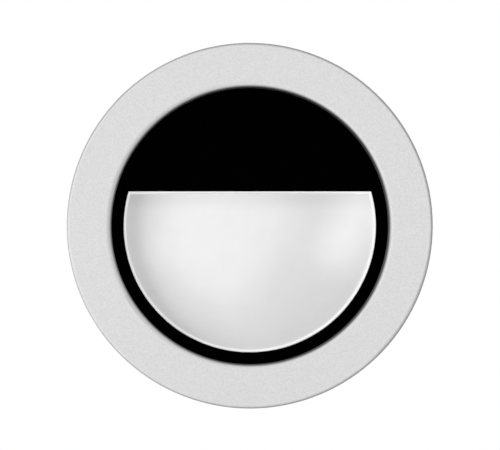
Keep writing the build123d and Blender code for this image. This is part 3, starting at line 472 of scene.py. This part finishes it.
def wire_mesh(name, points):
    """A round wire along some points."""
    curve = bpy.data.curves.new(name, "CURVE")
    curve.dimensions = "3D"
    curve.bevel_depth = WIRE_DIAMETER / 2
    curve.bevel_resolution = WIRE_RESOLUTION
    curve.use_fill_caps = True
    line = curve.splines.new("POLY")
    line.points.add(len(points) - 1)
    for target, point in zip(line.points, points):
        target.co = (*point, 1.0)
    shape = bpy.data.objects.new(name, curve)
    bpy.context.scene.collection.objects.link(shape)
    bpy.context.view_layer.update()
    evaluated = shape.evaluated_get(bpy.context.evaluated_depsgraph_get())
    mesh = bpy.data.meshes.new_from_object(evaluated)
    bpy.data.objects.remove(shape)
    for face in mesh.polygons:
        face.use_smooth = True
    return mesh


def spring(side_name, side):
    """A torsion spring round the wing's pivot, made in its rest shape in place of the record's
    spring. The real one winds up as its wing folds.
    """
    joint = next(j for j in frame["joints"] if j["name"] == f"{side_name}_wing_pivot")
    pivot = Vector(joint["pos_m"])
    points, width = spring_route(side)
    mesh = wire_mesh(f"{side_name}_spring_wire", [pivot + point for point in points])
    mesh.materials.clear()
    mesh.materials.append(FINISHES["spring_steel"].material)
    piece = bpy.data.objects.new(f"{side_name}_torsion_spring", mesh)
    bpy.context.scene.collection.objects.link(piece)
    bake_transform(piece)
    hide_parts(f"{side_name}_wing_spring")


def direction(azimuth, elevation):
    """The way from the light to a lamp or camera. Azimuth 0 is in front, and 90 is on the right."""
    a = math.radians(azimuth)
    e = math.radians(elevation)
    return Vector((math.sin(a) * math.cos(e), -math.cos(a) * math.cos(e), math.sin(e)))


def stand(thing, place, way, roll=0.0):
    """Puts a lamp or camera in its place, looking against a direction, and turned about it."""
    thing.location = place
    thing.rotation_mode = "QUATERNION"
    look = (-way).to_track_quat("-Z", "Y")
    thing.rotation_quaternion = look @ Quaternion((0.0, 0.0, 1.0), math.radians(roll))
    bpy.context.scene.collection.objects.link(thing)


def lamp(name, azimuth, elevation, roll, width, height, power):
    """A soft box that faces the light."""
    data = bpy.data.lights.new(name, "AREA")
    data.shape = "RECTANGLE"
    data.size = width
    data.size_y = height
    data.energy = power
    way = direction(azimuth, elevation)
    stand(bpy.data.objects.new(name, data), way * LAMP_DISTANCE, way, roll)


def seen_share(tree):
    """1 for rays from the camera, a shiny or a clear surface, and 0 for the rest."""
    path = tree.nodes.new("ShaderNodeLightPath")
    share = path.outputs["Is Camera Ray"]
    for name in ("Is Glossy Ray", "Is Transmission Ray"):
        share = larger_of(tree, share, path.outputs[name])
    return share


def light_world():
    """White to look at, and a softer light all round."""
    world = bpy.data.worlds.new("studio")
    world.use_nodes = True
    tree = world.node_tree
    background = tree.nodes["Background"]
    background.inputs["Color"].default_value = WHITE
    level = new_node(tree, "ShaderNodeMapRange", To_Min=AMBIENT, To_Max=BACKDROP)
    tree.links.new(seen_share(tree), level.inputs["Value"])
    tree.links.new(level.outputs["Result"], background.inputs["Strength"])
    bpy.context.scene.world = world


def floor_material():
    """A pale, dull surface that glows a little, so that it looks white and keeps a shadow."""
    material = bpy.data.materials.new("pale_floor")
    material.use_nodes = True
    tree = material.node_tree
    shader = tree.nodes["Principled BSDF"]
    sockets = {
        "Base_Color": (*grey(FLOOR_TONE), 1.0),
        "Roughness": FLOOR_ROUGHNESS,
        "Specular_IOR_Level": 0.0,
        "Emission_Color": WHITE,
    }
    set_inputs(shader, sockets)
    glow = tree.nodes.new("ShaderNodeMath")
    glow.operation = "MULTIPLY"
    glow.inputs[1].default_value = FLOOR_GLOW
    tree.links.new(seen_share(tree), glow.inputs[0])
    tree.links.new(glow.outputs["Value"], shader.inputs["Emission Strength"])
    return material


def lay_floor():
    """A plain pale floor under the light."""
    half = FLOOR_SIZE / 2
    level = cad_box[0].z - FLOOR_DROP
    corners = [(x * half, y * half, level) for x, y in ((-1, -1), (1, -1), (1, 1), (-1, 1))]
    mesh = bpy.data.meshes.new("floor")
    mesh.from_pydata(corners, [], [(0, 1, 2, 3)])
    mesh.materials.append(floor_material())
    floor = bpy.data.objects.new("floor", mesh)
    bpy.context.scene.collection.objects.link(floor)


def set_camera():
    """The photograph's view: the ring's centre and width fall where they are in the picture."""
    low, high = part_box("face_ring")
    pixel = (high.x - low.x) / RING_WIDTH
    data = bpy.data.cameras.new("camera")
    data.sensor_width = SENSOR_WIDTH
    data.lens = SENSOR_WIDTH * CAMERA_DISTANCE / (PHOTO_WIDTH * pixel)
    way = direction(0.0, CAMERA_ELEVATION)
    centre = Vector(((low.x + high.x) / 2, low.y, (low.z + high.z) / 2))
    right = PHOTO_WIDTH / 2 - RING_CENTRE_X
    up = RING_CENTRE_Y - PHOTO_HEIGHT / 2
    aside = Vector((right, 0.0, up)) * pixel
    camera = bpy.data.objects.new("camera", data)
    stand(camera, centre + aside + way * CAMERA_DISTANCE, way)
    bpy.context.scene.camera = camera


for node in frame["nodes"].values():
    dress(node)
spring("right", 1)
spring("left", -1)
light_world()
lay_floor()
for lamp_name, settings in LAMPS.items():
    lamp(lamp_name, **settings)
set_camera()
bpy.context.scene.view_settings.view_transform = "Standard"
